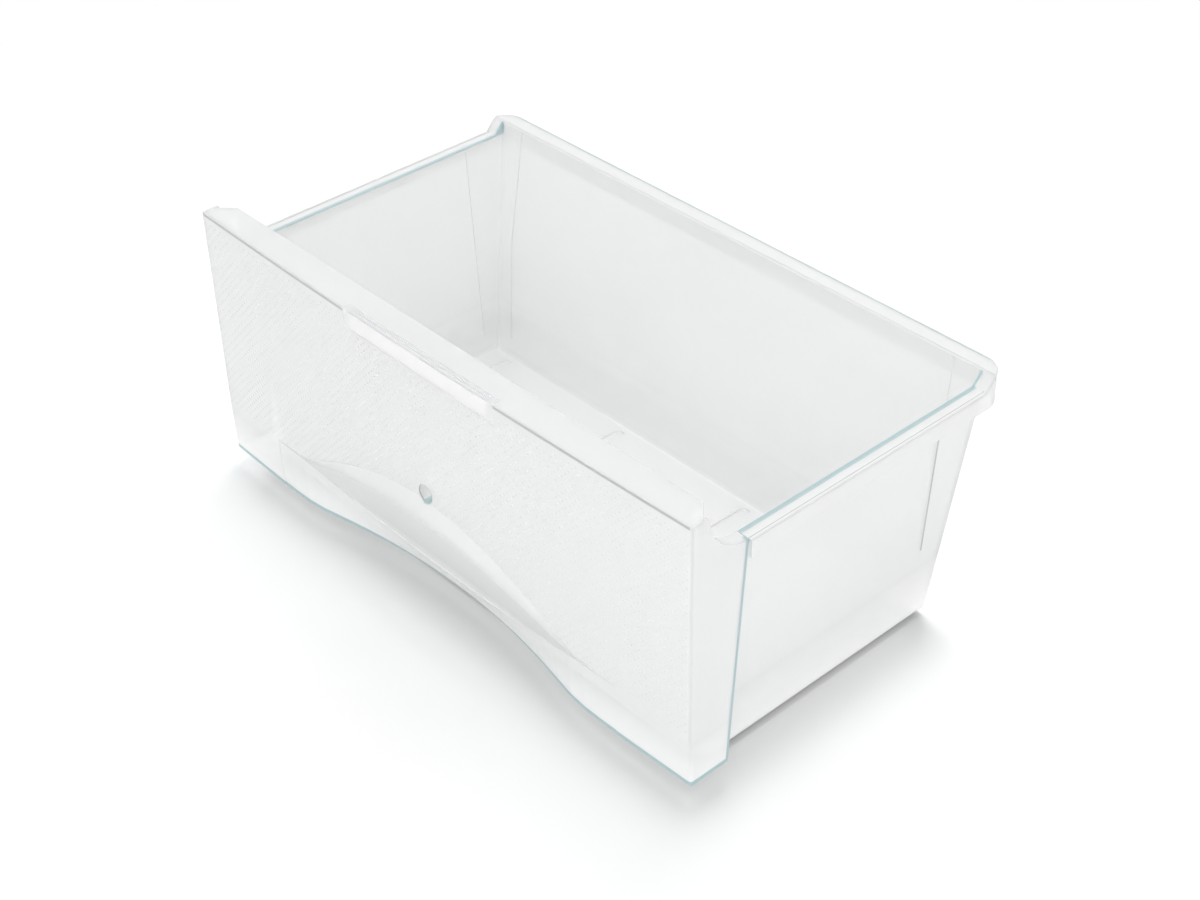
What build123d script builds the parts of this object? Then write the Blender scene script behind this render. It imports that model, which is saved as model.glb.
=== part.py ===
# Clear refrigerator drawer: an open tub with side rails, a wrap-round front panel with a
# finger scoop in its skirt, and a label strip behind a clear cover in the top front edge.
# Millimetres, +Z up, the front faces -Y, origin at the middle of the footprint on the shelf.
import os
from math import radians, tan

from build123d import *

os.makedirs("parts", exist_ok=True)

# Whole drawer
rail_width = 453.5          # over the outer edges of the two side rails
overall_depth = 270.0       # brow of the scoop to the back of the rear rim
overall_height = 201.0      # shelf to the top of the front ledge
wall = 2.5                  # moulded wall of the tub and of the panel
fit_gap = 0.3               # clearance where the panel meets the tub

# Front panel
panel_width = 450.0
bow = 4.0                   # how far the middle of the front stands forward of its corners
skirt_lift = 13.5           # shelf to the lower edge of the panel
skirt_height = 38.0         # lower edge to the crease under the dotted field
skirt_tuck = 1.0            # lower edge set back from the crease
ledge_depth = 19.8          # corner of the front to the back of the ledge
ledge_lip = 8.0             # turned-down edge round the ledge
ledge_chamfer = 12.0        # rear corners of the ledge
return_top = 42.5           # side return, front to back, at the rail
return_bottom = 30.5        # the same at the skirt
swoop_radius = 30.5         # hollow curve from the ledge down to the rail
swoop_width = 9.5           # flange along that curve, across
corner_round = 2.0          # upright front corners
edge_round = 0.8            # top edges of the ledge, returns and cover

# Finger scoop in the skirt
scoop_half = 128.0          # half length, tip to middle
scoop_reach = 165.0         # half length with the faint tails that run on along the crease
tip_soft = 0.2              # how softly the scoop fades into its tails
brow_out = 8.0              # the brow over the scoop stands this far forward
brow_rise = 33.5            # brow edge above the crease, in the middle
field_rise = 42.5           # edge of the dotted field above the crease, in the middle
valley_drop = 20.5          # valley of the scoop below the crease, in the middle
valley_in = 12.0            # valley set back from the front
scoop_in = 20.5             # lower edge set back from the front, in the middle
ridge = 0.5                 # fine raised line along the valley
ridge_width = 1.6
scoop_sections = 25
slope_extra = 0.7           # added to the wall, front to back, where the sheet slopes
eye_rise = 48.0             # middle of the round eye above the crease
eye_bore = 12.6
eye_wall = 1.6
eye_depth = 5.0

# Tub
floor_width = 416.0         # outside, at the floor
side_draft = 3.47           # each side wall leans out this many degrees
front_draft = 3.3
floor_depth = 197.0         # outside, front wall to rear wall at the floor
rear_draft = 8.1
foot_round = 14.0           # upright corners at the floor
front_round = 15.0          # upright front corners at the top
rear_round = 32.0           # upright rear corners at the top
floor_round = 6.0           # sweep from floor to walls, outside
tongue_end = 18.0           # front wall's tongue stops this far inside the panel's ends
seam_proud = 0.5            # fine upright ridges inside, by the rear corners
seam_width = 1.3
seam_foot = 18.0            # where they end above the shelf
seam_side = 87.0            # y of the ridge on each side wall
seam_top = 195.4            # x of the ridge on the rear wall at the rim
seam_bend = 198.2           # at its bend
seam_low = 189.2            # at its foot
seam_bend_rise = 94.0       # shelf to the bend

# Rails and rear rim
rail_drop = 30.5            # top of the ledge to the top of the rails
rim_rise = 9.5              # rear rim above the rails
ramp_length = 8.3
rim_thick = 2.2
rail_lip = 12.3             # height of the turned-down rail edge
lip_thick = 2.0
rim_overhang = 9.3          # rear rim beyond the rear wall
rim_round = 16.5
rim_edge = 1.0              # rounding along the outer top edge of rails and rim

# Runners pressed into the floor
runner_pitch = 123.0
runner_count = 4
runner_width = 11.0
runner_height = 1.5
runner_start = 50.0         # front of the panel to the front end of a runner
runner_tail = 6.5           # rear end of a runner to the foot of the rear wall

# Label strip and its cover in the top front edge
cover_length = 139.0
cover_height = 12.5
cover_depth = 6.0           # over the top of the ledge
cover_thick = 1.1
cover_end = 6.0             # clear end at each side, beyond the label
cover_groove = 0.8          # width of the two fine grooves along the top
label_height = 9.0
label_thick = 0.6
cover_gap = 0.1             # clearance round the cover and the label
pad_thick = 1.6             # extra wall behind the cover

# Places that follow from the sizes above
front = bow + brow_out - overall_depth / 2      # y of the panel's front corners
bow_radius = ((panel_width / 2) ** 2 + bow**2) / (2 * bow)
bow_middle = front - bow + bow_radius
skirt = skirt_lift
crease = skirt + skirt_height
scoop_top = crease + field_rise + 4 * wall
ledge_under = overall_height - wall
lip_base = overall_height - ledge_lip
rail_top = overall_height - rail_drop
rim_top = rail_top + rim_rise
lip_bottom = rail_top - rail_lip
rear_outer = overall_depth / 2
ramp_end = rear_outer - rim_overhang - wall
ramp_start = ramp_end - ramp_length
tongue_top = ledge_under - fit_gap
front_foot = ledge_depth - 2 * wall - fit_gap + (lip_base - runner_height) * tan(radians(front_draft))
floor_front = front + front_foot
floor_rear = floor_front + floor_depth
swoop_back = front + return_top
rail_start = swoop_back + fit_gap
tongue_half = panel_width / 2 - tongue_end
cover_half = cover_length / 2
cover_base = overall_height - cover_height
cover_top = overall_height - cover_thick
label_half = cover_half - cover_end
label_base = cover_base + (cover_height - cover_thick - label_height) / 2
far_off = 2 * overall_height


def front_line(x):
    """y of the bowed front face at x"""
    return bow_middle - (bow_radius**2 - x**2) ** 0.5


def bowed_strip(half, near, back, height):
    """plan at a height of a strip along the bowed front, from near to back behind its face"""
    with BuildSketch(Plane.XY.offset(height)) as strip:
        with Locations((0, bow_middle)):
            Circle(bow_radius - near)
            Circle(bow_radius - back, mode=Mode.SUBTRACT)
        with Locations((0, front)):
            Rectangle(2 * half, 2 * return_top, mode=Mode.INTERSECT)
    return strip.sketch


def tip_fade(x):
    """share of the scoop's depth at x, fading softly past its tips"""
    bare = 1 - (x / scoop_half) ** 2
    return (bare + (bare**2 + tip_soft**2) ** 0.5) / 2


def scoop_section(x):
    """section of the panel at x as (y, z): down the outer face, then up the inner one"""
    y = front_line(x)
    swell = tip_fade(x) / tip_fade(0)
    top = Vector(y, scoop_top)
    field = Vector(y, crease + field_rise * swell)
    brow = Vector(y - brow_out * swell, crease + brow_rise * swell)
    valley = Vector(y + valley_in * swell, crease - valley_drop * swell)
    foot = Vector(y + skirt_tuck + (scoop_in - skirt_tuck) * swell, skirt)
    step = Vector(0, ridge_width / 2 * swell)
    line = [valley + step, valley - Vector(ridge * swell, 0), valley - step]
    thick = Vector(wall + slope_extra * swell, 0)
    inner = [foot + thick, valley + thick, brow + thick, field + thick, top + Vector(wall, 0)]
    return [top, field, brow, *line, foot, *inner]


def tub_section(height, inset):
    """plan of the tub at a height, its drafted walls moved in by inset"""
    rise = height - runner_height
    share = rise / (tongue_top - runner_height)
    half = floor_width / 2 + rise * tan(radians(side_draft)) - inset
    near = floor_front - rise * tan(radians(front_draft)) + inset
    back = floor_rear + rise * tan(radians(rear_draft)) - inset
    with BuildSketch(Plane.XY.offset(height)) as section:
        with Locations((0, (near + back) / 2)):
            Rectangle(2 * half, back - near)
        corners = section.vertices().sort_by(Axis.Y)
        fillet(corners[:2], foot_round + (front_round - foot_round) * share - inset)
        fillet(corners[2:], foot_round + (rear_round - foot_round) * share - inset)
    return section.sketch


def rim_side(near, drop, bottom, back):
    """side view of the rails and the raised rear rim, lowered by drop"""
    return [
        (near, bottom),
        (near, rail_top - drop),
        (ramp_start, rail_top - drop),
        (ramp_end, rim_top - drop),
        (back, rim_top - drop),
        (back, bottom),
    ]


# Tub: drafted shell with rails, raised rear rim and pressed floor runners
with BuildPart() as tub:
    # skirted rim, solid first and then hollow from below
    with BuildSketch(Plane.YZ):
        Polygon(*rim_side(rail_start, 0, lip_bottom, rear_outer), align=None)
    extrude(amount=rail_width / 2, both=True)
    fillet(tub.edges().filter_by(Axis.Z).sort_by(Axis.Y)[-2:], rim_round)
    top_edges = tub.edges().filter_by(lambda edge: edge.center().Z > rail_top - rim_edge)
    fillet(
        top_edges.filter_by(
            lambda edge: abs(edge.center().X) > rail_width / 2 - rim_round
            or edge.center().Y > rear_outer - rim_edge
        ),
        rim_edge,
    )
    with BuildPart(mode=Mode.PRIVATE) as rim_hollow:
        with BuildSketch(Plane.YZ):
            Polygon(
                *rim_side(rail_start - wall, rim_thick, lip_bottom - wall, rear_outer - lip_thick),
                align=None,
            )
        extrude(amount=rail_width / 2 - lip_thick, both=True)
        fillet(rim_hollow.edges().filter_by(Axis.Z).sort_by(Axis.Y)[-2:], rim_round - lip_thick)
    add(rim_hollow.part, mode=Mode.SUBTRACT)
    # walls and floor, trimmed to the rails, the swoop of the panel and the rear rim
    with BuildPart(mode=Mode.PRIVATE) as shell:
        add(tub_section(runner_height, 0))
        add(tub_section(tongue_top, 0))
        loft(ruled=True)
        fillet(shell.faces().sort_by(Axis.Z)[0].edges(), floor_round)
        with BuildPart(mode=Mode.PRIVATE) as above_sides:
            with BuildSketch(Plane.YZ):
                with Locations((swoop_back, overall_height)):
                    Circle(swoop_radius + wall + fit_gap)
                Polygon(
                    (swoop_back, far_off),
                    (swoop_back, rail_top - wall - fit_gap),
                    (rail_start, rail_top - wall - fit_gap),
                    (rail_start, rail_top - rim_thick / 2),
                    (ramp_start, rail_top - rim_thick / 2),
                    (ramp_end, rim_top - rim_thick / 2),
                    (rear_outer, rim_top - rim_thick / 2),
                    (rear_outer, far_off),
                    align=None,
                )
            extrude(amount=rail_width / 2, both=True)
            with Locations((0, front + ledge_depth - overall_depth / 2, 0)):
                Box(2 * tongue_half, overall_depth, 2 * far_off, mode=Mode.SUBTRACT)
        add(above_sides.part, mode=Mode.SUBTRACT)
    add(shell.part)
    with BuildPart(mode=Mode.PRIVATE) as room:
        add(tub_section(runner_height + wall, wall))
        add(tub_section(overall_height + wall, wall))
        loft(ruled=True)
        fillet(room.faces().sort_by(Axis.Z)[0].edges(), floor_round - wall)
    add(room.part, mode=Mode.SUBTRACT)
    # fine upright ridges on the inner faces, two by each rear corner
    with BuildPart(mode=Mode.PRIVATE) as seams:
        add(tub_section(seam_foot, wall / 2))
        add(tub_section(rim_top - rim_thick, wall / 2))
        loft(ruled=True)
        with BuildPart(mode=Mode.PRIVATE) as within:
            add(tub_section(seam_foot, wall + seam_proud))
            add(tub_section(rim_top - rim_thick, wall + seam_proud))
            loft(ruled=True)
        add(within.part, mode=Mode.SUBTRACT)
        with BuildPart(mode=Mode.PRIVATE) as seam_places:
            with Locations((0, seam_side, rail_top - rim_thick)):
                Box(rail_width, seam_width, rail_top, align=(Align.CENTER, Align.CENTER, Align.MAX))
            with BuildSketch(Plane.XZ.offset(-seam_side - seam_width)):
                with BuildLine():
                    Polyline((seam_top, rim_top), (seam_bend, seam_bend_rise), (seam_low, 0))
                    offset(amount=seam_width / 2, side=Side.BOTH)
                make_face()
                mirror(about=Plane.YZ)
            extrude(amount=-overall_depth)
        add(seam_places.part, mode=Mode.INTERSECT)
    add(seams.part)
    # runners: ribs under the floor, grooves on top of it
    runner_near = front + runner_start
    runner_length = floor_rear - runner_tail - runner_near
    with BuildSketch(Plane.XY):
        with Locations((0, runner_near + runner_length / 2)):
            with GridLocations(runner_pitch, 0, runner_count, 1):
                SlotOverall(runner_length, runner_width, rotation=90)
    extrude(amount=runner_height)
    with BuildSketch(Plane.XY.offset(wall)):
        with Locations((0, runner_near + runner_length / 2)):
            with GridLocations(runner_pitch, 0, runner_count, 1):
                SlotOverall(runner_length - wall, runner_width - wall, rotation=90)
    extrude(amount=runner_height, mode=Mode.SUBTRACT)
tub.part.label = "tub"
export_step(tub.part, "parts/tub.step")

# Front panel: bowed sheet with side returns, hooked ledge, swoop flanges and scooped skirt
with BuildPart() as front_panel:
    # sheet and returns, open to the rear
    front_plan = bowed_strip(panel_width / 2, 0, wall, crease)
    extrude(front_plan, amount=overall_height - crease)
    # skirt below the crease, tucked back
    with BuildPart(mode=Mode.PRIVATE) as skirt_sheet:
        add(front_plan)
        add(front_plan.moved(Location((0, skirt_tuck, -skirt_height))))
        loft(ruled=True)
    add(skirt_sheet.part)
    # side returns: tapered below, hollow swoop above
    with BuildSketch(Plane.YZ.offset(panel_width / 2 - wall)) as return_side:
        Polygon(
            (front + wall / 2, skirt),
            (front + return_bottom, skirt),
            (swoop_back, rail_top),
            (swoop_back, overall_height),
            (front + wall / 2, overall_height),
            align=None,
        )
        with Locations((swoop_back, overall_height)):
            Circle(swoop_radius, mode=Mode.SUBTRACT)
    extrude(amount=wall)
    # flange along the swoop, over the tops of the tub's side walls
    with BuildSketch(Plane.YZ.offset(panel_width / 2 - swoop_width)):
        with Locations((swoop_back, overall_height)):
            Circle(swoop_radius + wall)
            Circle(swoop_radius, mode=Mode.SUBTRACT)
            Rectangle(
                2 * return_top, 2 * ledge_lip, align=(Align.CENTER, Align.CENTER), mode=Mode.SUBTRACT
            )
            Rectangle(
                return_top, return_top, align=(Align.MAX, Align.MAX), mode=Mode.INTERSECT
            )
    extrude(amount=swoop_width)
    mirror(about=Plane.YZ)
    # ledge, its rear corners cut off, with a turned-down edge all round
    with BuildSketch(Plane.XY.offset(lip_base)) as ledge_plan:
        with Locations((0, bow_middle)):
            Circle(bow_radius)
        with Locations((0, front)):
            Rectangle(panel_width, 2 * ledge_depth, mode=Mode.INTERSECT)
        chamfer(ledge_plan.vertices().sort_by(Axis.Y)[-2:], ledge_chamfer)
    extrude(amount=ledge_lip)
    with BuildSketch(Plane.XY.offset(lip_base)):
        add(ledge_plan.sketch)
        offset(amount=-wall, kind=Kind.INTERSECTION)
    extrude(amount=ledge_lip - wall, mode=Mode.SUBTRACT)
    # soft corners and top edges
    upright = front_panel.edges().filter_by(
        lambda edge: abs(edge.center().X) > panel_width / 2 - skirt_tuck
        and edge.center().Y < front + 2 * skirt_tuck
        and edge.length > skirt_height - skirt_tuck
    )
    fillet(upright, corner_round)
    fillet(front_panel.faces().sort_by(Axis.Z)[-1].edges(), edge_round)
    # finger scoop: the skirt between its tips is replaced by a waved sheet
    with Locations((0, 0, skirt)):
        Box(
            2 * scoop_reach,
            overall_depth,
            scoop_top - skirt,
            align=(Align.CENTER, Align.CENTER, Align.MIN),
            mode=Mode.SUBTRACT,
        )
    with BuildPart(mode=Mode.PRIVATE) as scoop:
        for i in range(scoop_sections):
            x = scoop_reach * (2 * i / (scoop_sections - 1) - 1)
            with BuildSketch(Plane.YZ.offset(x)):
                Polygon(*scoop_section(x), align=None)
        loft(ruled=True)
    add(scoop.part)
    # round eye above the brow
    with BuildSketch(Plane.XZ.offset(-front_line(0) - wall / 2)):
        with Locations((0, crease + eye_rise)):
            Circle(eye_bore / 2 + eye_wall)
    extrude(amount=-eye_depth)
    with BuildSketch(Plane.XZ.offset(-front_line(0))):
        with Locations((0, crease + eye_rise)):
            Circle(eye_bore / 2)
    extrude(amount=wall + eye_depth, both=True, mode=Mode.SUBTRACT)
    # seat of the strip cover: thicker wall behind, then the pockets for cover and label
    extrude(
        bowed_strip(cover_half + wall, wall / 2, wall + pad_thick, cover_base - wall),
        amount=ledge_under - cover_base + 1.5 * wall,
    )
    extrude(
        bowed_strip(cover_half + cover_gap, -bow, cover_thick, cover_base - cover_gap),
        amount=2 * cover_height,
        mode=Mode.SUBTRACT,
    )
    extrude(
        bowed_strip(cover_half + cover_gap, -bow, cover_depth + cover_gap, cover_top),
        amount=2 * cover_height,
        mode=Mode.SUBTRACT,
    )
    extrude(
        bowed_strip(label_half + cover_gap, 0, cover_thick + label_thick, label_base - cover_gap),
        amount=label_height + 2 * cover_gap,
        mode=Mode.SUBTRACT,
    )
front_panel.part.label = "front_panel"
export_step(front_panel.part, "parts/front_panel.step")

# Clear cover: an L wrapped over the top front edge, two fine grooves along its top
with BuildPart() as label_cover:
    extrude(bowed_strip(cover_half, 0, cover_thick, cover_base), amount=cover_height)
    extrude(bowed_strip(cover_half, 0, cover_depth, cover_top), amount=cover_thick)
    fillet(label_cover.faces().sort_by(Axis.Z)[-1].edges().sort_by(Axis.Y)[0], edge_round)
    for groove in (1, 2):
        middle = cover_thick + groove * (cover_depth - cover_thick) / 3
        extrude(
            bowed_strip(
                cover_half - cover_end,
                middle - cover_groove / 2,
                middle + cover_groove / 2,
                overall_height - cover_groove / 2,
            ),
            amount=cover_groove,
            mode=Mode.SUBTRACT,
        )
label_cover.part.label = "label_cover"
export_step(label_cover.part, "parts/label_cover.step")

# White strip behind the cover
with BuildPart() as label_strip:
    extrude(
        bowed_strip(label_half, cover_thick, cover_thick + label_thick, label_base), amount=label_height
    )
label_strip.part.label = "label_strip"
export_step(label_strip.part, "parts/label_strip.step")
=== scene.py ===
# Clear refrigerator drawer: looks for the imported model
import bpy
import math
from mathutils import Matrix, Vector


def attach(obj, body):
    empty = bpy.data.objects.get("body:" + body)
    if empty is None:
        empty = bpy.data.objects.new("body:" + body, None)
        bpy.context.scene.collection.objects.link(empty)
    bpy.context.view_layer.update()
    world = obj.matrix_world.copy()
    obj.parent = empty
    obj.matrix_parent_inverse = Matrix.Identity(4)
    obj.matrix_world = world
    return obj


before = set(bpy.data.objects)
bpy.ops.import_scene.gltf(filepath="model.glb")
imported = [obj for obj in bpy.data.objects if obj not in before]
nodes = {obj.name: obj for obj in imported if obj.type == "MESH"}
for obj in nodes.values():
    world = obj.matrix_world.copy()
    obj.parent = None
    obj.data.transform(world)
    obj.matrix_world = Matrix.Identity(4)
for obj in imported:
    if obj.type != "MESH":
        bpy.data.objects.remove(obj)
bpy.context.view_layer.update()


scene = bpy.context.scene
print("frame loaded:", sorted(nodes))

# camera: where the photographer stood, found from the drawer's corners
cameraView = {
    "place": (0.80839, -0.70559, 0.86296),   # metres from the middle of the footprint
    "yaw": 48.28,                            # degrees from straight on, seen from the right
    "pitch": 36.56,                          # looking down
    "roll": -1.2,
    "lens": 61.904,
    "sensor": 36.0,
    "farthest": 50.0,
}


def makeCamera(view):
    yaw, pitch, roll = (math.radians(view[k]) for k in ("yaw", "pitch", "roll"))
    ahead = Vector((-math.sin(yaw) * math.cos(pitch), math.cos(yaw) * math.cos(pitch), -math.sin(pitch)))
    level = Vector((math.cos(yaw), math.sin(yaw), 0.0))
    above = level.cross(ahead)
    right = math.cos(roll) * level + math.sin(roll) * above
    up = -math.sin(roll) * level + math.cos(roll) * above
    data = bpy.data.cameras.new("photoCamera")
    data.lens = view["lens"]
    data.sensor_width = view["sensor"]
    data.sensor_fit = "HORIZONTAL"
    data.clip_end = view["farthest"]
    camera = bpy.data.objects.new("photoCamera", data)
    turn = Matrix((right, up, -ahead)).transposed().to_4x4()
    camera.matrix_world = Matrix.Translation(Vector(view["place"])) @ turn
    scene.collection.objects.link(camera)
    scene.camera = camera


makeCamera(cameraView)
print("camera set")

# node helpers
white = (1.0, 1.0, 1.0, 1.0)


def addNode(tree, kind, values=None, **settings):
    node = tree.nodes.new(kind)
    for key, value in settings.items():
        setattr(node, key, value)
    for key, value in (values or {}).items():
        node.inputs[key].default_value = value
    return node


def feed(tree, socket, term):
    # a number or colour is written into the socket, anything else is linked to it
    if isinstance(term, (int, float, tuple)):
        socket.default_value = term
    else:
        tree.links.new(term, socket)


def calcNode(tree, operation, *terms):
    node = addNode(tree, "ShaderNodeMath", operation=operation)
    for socket, term in zip(node.inputs, terms):
        feed(tree, socket, term)
    return node.outputs["Value"]


def ramp(tree, source, start, end, low=0.0, high=1.0):
    node = addNode(tree, "ShaderNodeMapRange", {"From Min": start, "From Max": end,
                                                "To Min": low, "To Max": high})
    tree.links.new(source, node.inputs["Value"])
    return node.outputs["Result"]


def mixColour(tree, share, first, second):
    node = addNode(tree, "ShaderNodeMixRGB")
    for key, term in (("Fac", share), ("Color1", first), ("Color2", second)):
        feed(tree, node.inputs[key], term)
    return node.outputs["Color"]


def mixShader(tree, share, first, second):
    node = addNode(tree, "ShaderNodeMixShader")
    for socket, term in zip(node.inputs, (share, first, second)):
        feed(tree, socket, term)
    return node.outputs["Shader"]


def newMaterial(name):
    material = bpy.data.materials.new(name)
    material.use_nodes = True
    tree = material.node_tree
    tree.nodes.clear()
    out = addNode(tree, "ShaderNodeOutputMaterial")
    return material, tree, out


def objectPlace(tree):
    return addNode(tree, "ShaderNodeTexCoord").outputs["Object"]


def noise(tree, scale, detail):
    node = addNode(tree, "ShaderNodeTexNoise", {"Scale": scale, "Detail": detail})
    tree.links.new(objectPlace(tree), node.inputs["Vector"])
    return node.outputs["Fac"]


def bumped(tree, height, distance, strength, shaders):
    bump = addNode(tree, "ShaderNodeBump", {"Distance": distance, "Strength": strength})
    tree.links.new(height, bump.inputs["Height"])
    for shader in shaders:
        tree.links.new(bump.outputs["Normal"], shader.inputs["Normal"])


# clear moulded plastic: glass-like, with a faint milk in each skin and blue-green along cut edges
clearPlastic = {
    "body": (0.825, 0.825, 0.825, 1.0),
    "flowTone": (0.85, 0.85, 0.85, 1.0),
    # paler tone towards the foot: painted light that lifts the shade near the floor
    "footPaintedLight": (0.93, 0.93, 0.93, 1.0), "footBase": 0.010, "footTop": 0.045,
    "holdFace": 0.55, "holdFoot": 0.88, "holdFloor": 0.97,   # share of each skin that is milk
    "floorTop": 0.0045,
    "cut": (0.40, 0.53, 0.55, 1.0), "cutHold": 0.88,
    # glint: painted highlight, near-white colour on the front's corners
    "glint": (0.98, 0.98, 0.98, 1.0), "glintHold": 0.95,
    # line: painted shade, dark grey where the plastic's edges and folds show dark
    "line": (0.40, 0.41, 0.41, 1.0), "lineHold": 0.75,
    "lampHigh": (0.98, 0.98, 0.98, 1.0),     # what one skin lets through to what it shades
    "lampLow": (0.66, 0.66, 0.66, 1.0),      # the same near the foot
    "lampFloor": (0.25, 0.25, 0.25, 1.0),    # and in the floor
    "lampBase": 0.065, "lampTop": 0.110,
    "milkRoughLow": 0.08, "milkRoughHigh": 0.20,
    "clearRough": 0.02,
    "flowScale": 7.0, "flowDetail": 3.0,     # slow unevenness left by the moulding
    "flowHeight": 0.0003, "flowStrength": 0.4,
    "ior": 1.5,
    "soak": (0.45, 0.92, 0.95, 1.0), "soakDensity": 4.0,
    "skirtRise": 0.0135, "returnLean": 12.0 / 157.0,         # line of the returns' rear edges
    "eyeRise": 0.0995,
}
frontLook = dict(clearPlastic, lampLow=(0.88, 0.88, 0.88, 1.0), lampBase=0.02, lampTop=0.08)
coverLook = dict(clearPlastic, body=(0.92, 0.92, 0.92, 1.0), flowTone=(0.94, 0.94, 0.94, 1.0),
                 holdFace=0.30, lampHigh=white, flowHeight=0.00005,
                 soak=(0.9, 0.95, 0.95, 1.0), soakDensity=1.0)

# where the plastic shows a cut edge, in metres: rails' inner top edge, ramps and rim on the tub,
# the returns' rear edges, lower edge and foot of the eye on the front
tubCuts = [
    {"x": (0.2150, 0.2186), "z": (0.1702, 0.1712), "y": (-0.085, 0.120)},
    {"x": (0.2150, 0.2175), "z": (0.1706, 0.1788), "y": (0.105, 0.1245)},
    {"y": (0.1330, 0.1338), "z": (0.1785, 0.1812)},
]
frontCuts = [
    {"x": (0.2210, 0.2260), "lean": (-0.0943, -0.0917), "z": (0.012, 0.172)},
    {"z": (0.0125, 0.0165)},
    {"eye": (0.0058, 0.0067), "z": (0.0925, 0.0937)},
]
# painted shade: fine grey lines beside the rails' outer edge and down the right wall's ridge on the tub,
# along the top edge beside the cover and round the eye on the front, where the plastic's edges show dark
tubShadeLines = [
    {"x": (0.2238, 0.2243), "z": (0.1690, 0.1712)},
    {"side": (0.1900, 0.2180), "y": (0.0863, 0.0877), "z": (0.060, 0.168)},
]
frontShadeLines = [
    {"x": (0.0695, 0.2230), "y": (-0.1280, -0.1220), "z": (0.1987, 0.2004)},
    {"eye": (0.0060, 0.0066), "y": (-0.1280, -0.1262)},
]
# painted highlight: white glints down the front's upright corners
frontGlints = [
    {"x": (0.2252, 0.2270), "y": (-0.1250, -0.1212)},
]


def inside(tree, value, low, high, soft=0.0002):
    # 1 between low and high, with soft ends
    rise = ramp(tree, value, low - soft, low + soft)
    fall = ramp(tree, value, high - soft, high + soft, 1.0, 0.0)
    return calcNode(tree, "MULTIPLY", rise, fall)


def gather(tree, axes, spots):
    # one mask from many spots, each a range along one or more axes
    mask = None
    for spot in spots:
        here = None
        for axis, (low, high) in spot.items():
            part = inside(tree, axes[axis], low, high)
            here = part if here is None else calcNode(tree, "MULTIPLY", here, part)
        mask = here if mask is None else calcNode(tree, "MAXIMUM", mask, here)
    return mask


def drawerAxes(tree, look):
    split = addNode(tree, "ShaderNodeSeparateXYZ")
    tree.links.new(objectPlace(tree), split.inputs["Vector"])
    side, y, z = (split.outputs[k] for k in ("X", "Y", "Z"))
    across = calcNode(tree, "ABSOLUTE", side)
    shift = calcNode(tree, "MULTIPLY", calcNode(tree, "SUBTRACT", z, look["skirtRise"]), look["returnLean"])
    lean = calcNode(tree, "SUBTRACT", y, shift)                # y, level with the returns' slanting edge
    up = calcNode(tree, "SUBTRACT", z, look["eyeRise"])
    squares = (calcNode(tree, "MULTIPLY", term, term) for term in (across, up))
    eye = calcNode(tree, "SQRT", calcNode(tree, "ADD", *squares))   # distance from the eye's axis
    return {"side": side, "x": across, "y": y, "z": z, "lean": lean, "eye": eye}


def lampTint(tree, look, z, base):
    # lamps pass each skin with little loss, less near the foot and least in the floor
    share = ramp(tree, z, look["lampBase"], look["lampTop"])
    wall = mixColour(tree, share, look["lampLow"], look["lampHigh"])
    return mixColour(tree, base, wall, look["lampFloor"])


def makeClear(name, look, cutPlaces=(), shadeLinePlaces=(), glintPlaces=()):
    material, tree, out = newMaterial(name)
    links = tree.links
    axes = drawerAxes(tree, look)
    base = inside(tree, axes["z"], -1.0, look["floorTop"])
    foot = ramp(tree, axes["z"], look["footBase"], look["footTop"], 1.0, 0.0)
    flow = noise(tree, look["flowScale"], look["flowDetail"])

    # the moulding's slow flow; paler towards the foot as painted light that lifts the shade falling there, and
    # milkier towards the foot
    colour = mixColour(tree, flow, look["body"], look["flowTone"])
    colour = mixColour(tree, foot, colour, look["footPaintedLight"])
    hold = ramp(tree, foot, 0.0, 1.0, look["holdFace"], look["holdFoot"])
    hold = calcNode(tree, "MAXIMUM", hold, calcNode(tree, "MULTIPLY", base, look["holdFloor"]))

    # painted shade lines along edges and folds, painted white glints and blue-green cut edges
    for spots, paint in ((shadeLinePlaces, "line"), (glintPlaces, "glint"), (cutPlaces, "cut")):
        if spots:
            mask = gather(tree, axes, spots)
            colour = mixColour(tree, mask, colour, look[paint])
            held = calcNode(tree, "MULTIPLY", mask, look[paint + "Hold"])
            hold = calcNode(tree, "MAXIMUM", hold, held)

    milk = addNode(tree, "ShaderNodeBsdfPrincipled", {"IOR": look["ior"]})
    links.new(colour, milk.inputs["Base Color"])
    links.new(ramp(tree, flow, 0.0, 1.0, look["milkRoughLow"], look["milkRoughHigh"]), milk.inputs["Roughness"])
    clear = addNode(tree, "ShaderNodeBsdfPrincipled", {"Base Color": white, "Transmission Weight": 1.0,
                                                       "IOR": look["ior"], "Roughness": look["clearRough"]})
    bumped(tree, flow, look["flowHeight"], look["flowStrength"], (milk, clear))
    skin = mixShader(tree, hold, clear.outputs["BSDF"], milk.outputs["BSDF"])

    dim = addNode(tree, "ShaderNodeBsdfTransparent")
    links.new(lampTint(tree, look, axes["z"], base), dim.inputs["Color"])
    ray = addNode(tree, "ShaderNodeLightPath")
    surface = mixShader(tree, ray.outputs["Is Shadow Ray"], skin, dim.outputs["BSDF"])
    links.new(surface, out.inputs["Surface"])

    # the tint that a long way through the plastic picks up
    soak = addNode(tree, "ShaderNodeVolumeAbsorption", {"Color": look["soak"], "Density": look["soakDensity"]})
    links.new(soak.outputs["Volume"], out.inputs["Volume"])
    return material


def dress(node, material):
    mesh = nodes[node].data
    mesh.materials.clear()
    mesh.materials.append(material)


dress("tub", makeClear("clearTub", clearPlastic, tubCuts, tubShadeLines))
dress("front_panel", makeClear("clearFront", frontLook, frontCuts, frontShadeLines, frontGlints))
dress("label_cover", makeClear("clearCover", coverLook))
print("clear plastic on the tub, front and cover")

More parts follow.
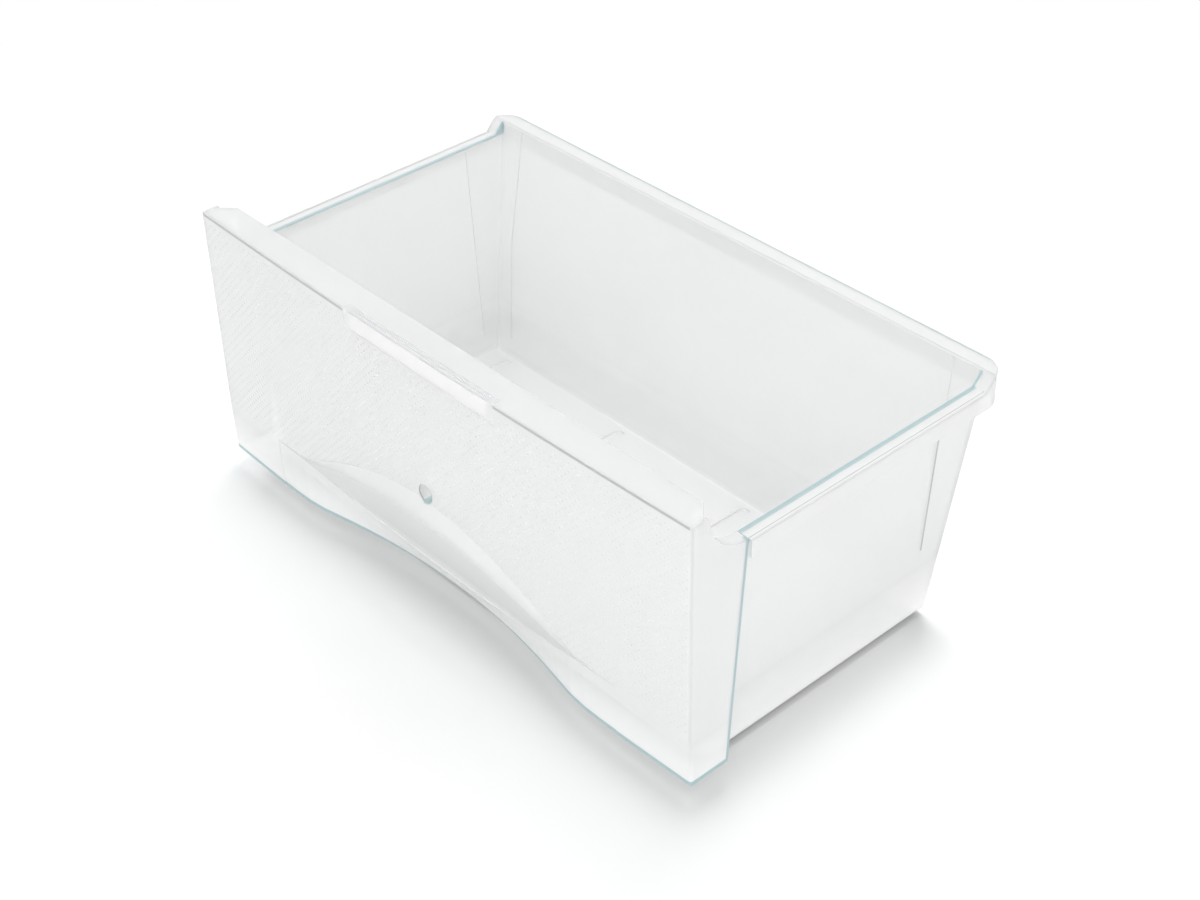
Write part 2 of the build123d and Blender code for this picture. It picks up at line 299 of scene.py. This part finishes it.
# white strip
stripLook = {
    "colour": (0.96, 0.96, 0.96, 1.0),
    "paler": (0.98, 0.98, 0.98, 1.0),
    "roughness": 0.45,
    "grainScale": 900.0, "grainDetail": 2.0,
    "grainHeight": 0.00003, "grainStrength": 0.5,
}


def makeStrip(look):
    material, tree, out = newMaterial("whiteStrip")
    shader = addNode(tree, "ShaderNodeBsdfPrincipled", {"Roughness": look["roughness"]})
    grain = noise(tree, look["grainScale"], look["grainDetail"])
    tree.links.new(mixColour(tree, grain, look["colour"], look["paler"]), shader.inputs["Base Color"])
    bumped(tree, grain, look["grainHeight"], look["grainStrength"], (shader,))
    tree.links.new(shader.outputs["BSDF"], out.inputs["Surface"])
    return material


dress("label_strip", makeStrip(stripLook))
print("white strip done")

# moulded dots on the front sheet
dotField = {
    "Step X": 0.0028, "Step Z": 0.0029,              # half of a row's own pitch: rows are staggered
    "Columns": 159, "Rows": 49,                      # rows stay odd, so every other point is a dot
    "Bottom": 0.0545,
    "Radius": 0.00095, "Height": 0.00022,
    "Crown Share": 0.6, "Sides": 8,
    "Bow Radius": 6.33010, "Bow Middle": 6.203125,   # just in the outer face of the bowed sheet
    "Crease": 0.0515, "Scoop Rise": 0.0432, "Scoop Half": 0.1290,
    "Eye Z": 0.0995, "Eye Clear": 0.0092,
    "Strip Half": 0.0735, "Strip Base": 0.1850,
}
dotLook = {
    "colour": (0.78, 0.78, 0.78, 1.0),
    "paler": (0.80, 0.80, 0.80, 1.0),
    "speckScale": 60.0, "speckDetail": 1.0,
    "hold": 0.14,
    "roughness": 0.3,
}


def dotTree(field):
    tree = bpy.data.node_groups.new("dotField", "GeometryNodeTree")
    face = tree.interface
    for name, value in field.items():
        kind = "NodeSocketInt" if isinstance(value, int) else "NodeSocketFloat"
        face.new_socket(name, in_out="INPUT", socket_type=kind).default_value = value
    face.new_socket("Material", in_out="INPUT", socket_type="NodeSocketMaterial")
    face.new_socket("Geometry", in_out="OUTPUT", socket_type="NodeSocketGeometry")
    links = tree.links
    given = addNode(tree, "NodeGroupInput").outputs
    out = addNode(tree, "NodeGroupOutput")

    def calc(operation, *terms):
        return calcNode(tree, operation, *terms)

    # flat grid of points, staggered by dropping every other one
    grid = addNode(tree, "GeometryNodeMeshGrid")
    width = calc("MULTIPLY", given["Step X"], calc("SUBTRACT", given["Columns"], 1.0))
    height = calc("MULTIPLY", given["Step Z"], calc("SUBTRACT", given["Rows"], 1.0))
    for key, term in (("Vertices X", given["Columns"]), ("Vertices Y", given["Rows"]),
                      ("Size X", width), ("Size Y", height)):
        links.new(term, grid.inputs[key])
    place = addNode(tree, "ShaderNodeSeparateXYZ")
    links.new(addNode(tree, "GeometryNodeInputPosition").outputs["Position"], place.inputs["Vector"])
    x = place.outputs["X"]
    z = calc("ADD", place.outputs["Y"], calc("ADD", calc("MULTIPLY", height, 0.5), given["Bottom"]))
    odd = calc("MODULO", addNode(tree, "GeometryNodeInputIndex").outputs["Index"], 2.0)

    # no dots in the scoop's band, round the eye and behind the strip
    share = calc("DIVIDE", x, given["Scoop Half"])
    arc = calc("SUBTRACT", 1.0, calc("MULTIPLY", share, share))
    band = calc("LESS_THAN", z, calc("ADD", given["Crease"], calc("MULTIPLY", given["Scoop Rise"], arc)))
    up = calc("SUBTRACT", z, given["Eye Z"])
    reach = calc("SQRT", calc("ADD", calc("MULTIPLY", x, x), calc("MULTIPLY", up, up)))
    eye = calc("LESS_THAN", reach, given["Eye Clear"])
    strip = calc("MULTIPLY", calc("LESS_THAN", calc("ABSOLUTE", x), given["Strip Half"]),
                 calc("GREATER_THAN", z, given["Strip Base"]))
    gone = calc("ADD", calc("ADD", odd, band), calc("ADD", eye, strip))
    prune = addNode(tree, "GeometryNodeDeleteGeometry", domain="POINT")
    links.new(grid.outputs["Mesh"], prune.inputs["Geometry"])
    links.new(calc("GREATER_THAN", gone, 0.5), prune.inputs["Selection"])

    # bend the field to the bow
    arm = calc("SUBTRACT", calc("MULTIPLY", given["Bow Radius"], given["Bow Radius"]), calc("MULTIPLY", x, x))
    y = calc("SUBTRACT", given["Bow Middle"], calc("SQRT", arm))
    spot = addNode(tree, "ShaderNodeCombineXYZ")
    for key, term in (("X", x), ("Y", y), ("Z", z)):
        links.new(term, spot.inputs[key])
    bend = addNode(tree, "GeometryNodeSetPosition")
    links.new(prune.outputs["Geometry"], bend.inputs["Geometry"])
    links.new(spot.outputs["Vector"], bend.inputs["Position"])

    # one low dot, its crown to the front
    dot = addNode(tree, "GeometryNodeMeshCone")
    crown = calc("MULTIPLY", given["Radius"], given["Crown Share"])
    for key, term in (("Vertices", given["Sides"]), ("Radius Top", crown),
                      ("Radius Bottom", given["Radius"]), ("Depth", given["Height"])):
        links.new(term, dot.inputs[key])
    sow = addNode(tree, "GeometryNodeInstanceOnPoints", {"Rotation": (math.pi / 2, 0.0, 0.0)})
    links.new(bend.outputs["Geometry"], sow.inputs["Points"])
    links.new(dot.outputs["Mesh"], sow.inputs["Instance"])
    real = addNode(tree, "GeometryNodeRealizeInstances")
    links.new(sow.outputs["Instances"], real.inputs["Geometry"])
    paint = addNode(tree, "GeometryNodeSetMaterial")
    links.new(real.outputs["Geometry"], paint.inputs["Geometry"])
    links.new(given["Material"], paint.inputs["Material"])
    links.new(paint.outputs["Geometry"], out.inputs["Geometry"])
    return tree


def makeDotMaterial(look):
    material, tree, out = newMaterial("mouldedDots")
    shader = addNode(tree, "ShaderNodeBsdfPrincipled", {"Roughness": look["roughness"]})
    speck = noise(tree, look["speckScale"], look["speckDetail"])
    tree.links.new(mixColour(tree, speck, look["colour"], look["paler"]), shader.inputs["Base Color"])
    through = addNode(tree, "ShaderNodeBsdfTransparent", {"Color": white})
    surface = mixShader(tree, look["hold"], through.outputs["BSDF"], shader.outputs["BSDF"])
    tree.links.new(surface, out.inputs["Surface"])
    return material


def makeDots(field, look):
    host = bpy.data.objects.new("dotHost", bpy.data.meshes.new("dotHost"))
    scene.collection.objects.link(host)
    grow = host.modifiers.new("dots", "NODES")
    grow.node_group = dotTree(field)
    keys = {item.name: item.identifier for item in grow.node_group.interface.items_tree
            if item.in_out == "INPUT"}
    for name, value in field.items():
        grow[keys[name]] = value
    grow[keys["Material"]] = makeDotMaterial(look)
    bpy.context.view_layer.update()
    graph = bpy.context.evaluated_depsgraph_get()
    mesh = bpy.data.meshes.new_from_object(host.evaluated_get(graph))
    mesh.name = "frontDots"
    host.modifiers.remove(grow)
    bpy.data.objects.remove(host)
    dots = bpy.data.objects.new("frontDots", mesh)
    scene.collection.objects.link(dots)
    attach(dots, "root")
    print("dots:", len(mesh.polygons), "faces")


makeDots(dotField, dotLook)

# floor, room and lamps
stageLook = {
    "floorSize": 8.0, "floorDrop": 0.0002,
    "floorColour": (0.455, 0.455, 0.455, 1.0),
    "whiteFrom": 0.45, "whiteAll": 0.95,     # how far from the drawer the floor turns plain white to the eye
    "skyTop": 1.0, "skyLow": 0.97, "skyRange": (-0.1, 0.9),
    "aimHeight": 0.1,
    "key": {"power": 8.0, "wide": 2.2, "deep": 0.5, "place": (-0.84, 0.96, 2.04)},
    "fill": {"power": 12.0, "wide": 1.4, "deep": 1.0, "place": (1.30, -1.50, 1.00)},
    "floor": {"power": 67.0, "wide": 0.8, "deep": 0.8, "place": (-0.35, 0.62, 2.05)},   # on the floor alone
}


def eyeRay(tree):
    # 1 for what the camera sees, directly, mirrored or through the plastic
    ray = addNode(tree, "ShaderNodeLightPath")
    seen = calcNode(tree, "MAXIMUM", ray.outputs["Is Camera Ray"], ray.outputs["Is Glossy Ray"])
    return calcNode(tree, "MAXIMUM", seen, ray.outputs["Is Transmission Ray"])


def makeFloorMaterial(look):
    material, tree, out = newMaterial("paleFloor")
    matt = addNode(tree, "ShaderNodeBsdfDiffuse", {"Color": look["floorColour"]})
    plain = addNode(tree, "ShaderNodeEmission", {"Color": white, "Strength": 1.0})
    away = addNode(tree, "ShaderNodeVectorMath", operation="LENGTH")
    tree.links.new(objectPlace(tree), away.inputs["Vector"])
    far = ramp(tree, away.outputs["Value"], look["whiteFrom"], look["whiteAll"])
    share = calcNode(tree, "MULTIPLY", far, eyeRay(tree))
    surface = mixShader(tree, share, matt.outputs["BSDF"], plain.outputs["Emission"])
    tree.links.new(surface, out.inputs["Surface"])
    return material


def makeFloor(look):
    half, low = look["floorSize"] / 2, -look["floorDrop"]
    corners = [(-half, -half, low), (half, -half, low), (half, half, low), (-half, half, low)]
    mesh = bpy.data.meshes.new("floor")
    mesh.from_pydata(corners, [], [(0, 1, 2, 3)])
    mesh.materials.append(makeFloorMaterial(look))
    floor = bpy.data.objects.new("floor", mesh)
    scene.collection.objects.link(floor)
    return floor


def makeWorld(look):
    world = bpy.data.worlds.new("softRoom")
    scene.world = world
    world.use_nodes = True
    tree = world.node_tree
    tree.nodes.clear()
    out = addNode(tree, "ShaderNodeOutputWorld")
    coords = addNode(tree, "ShaderNodeTexCoord")
    split = addNode(tree, "ShaderNodeSeparateXYZ")
    tree.links.new(coords.outputs["Generated"], split.inputs["Vector"])
    room = addNode(tree, "ShaderNodeBackground", {"Color": white})
    sky = ramp(tree, split.outputs["Z"], *look["skyRange"], look["skyLow"], look["skyTop"])
    tree.links.new(sky, room.inputs["Strength"])
    seen = addNode(tree, "ShaderNodeBackground", {"Color": white, "Strength": 1.0})
    surface = mixShader(tree, eyeRay(tree), room.outputs["Background"], seen.outputs["Background"])
    tree.links.new(surface, out.inputs["Surface"])


def makeLamp(name, lampLook, aimHeight):
    data = bpy.data.lights.new(name, "AREA")
    data.energy = lampLook["power"]
    data.shape = "RECTANGLE"
    data.size, data.size_y = lampLook["wide"], lampLook["deep"]
    lamp = bpy.data.objects.new(name, data)
    lamp.location = lampLook["place"]
    aim = Vector((0, 0, aimHeight)) - Vector(lampLook["place"])
    lamp.rotation_euler = aim.to_track_quat("-Z", "Y").to_euler()
    scene.collection.objects.link(lamp)
    return lamp


def makeStage(look):
    floor = makeFloor(look)
    makeWorld(look)
    makeLamp("keyLamp", look["key"], look["aimHeight"])
    makeLamp("fillLamp", look["fill"], look["aimHeight"])
    floorLamp = makeLamp("floorLamp", look["floor"], look["aimHeight"])
    lit = bpy.data.collections.new("litFloor")
    lit.objects.link(floor)
    floorLamp.light_linking.receiver_collection = lit


makeStage(stageLook)
scene.view_settings.view_transform = "Standard"
print("floor, room and lamps set")
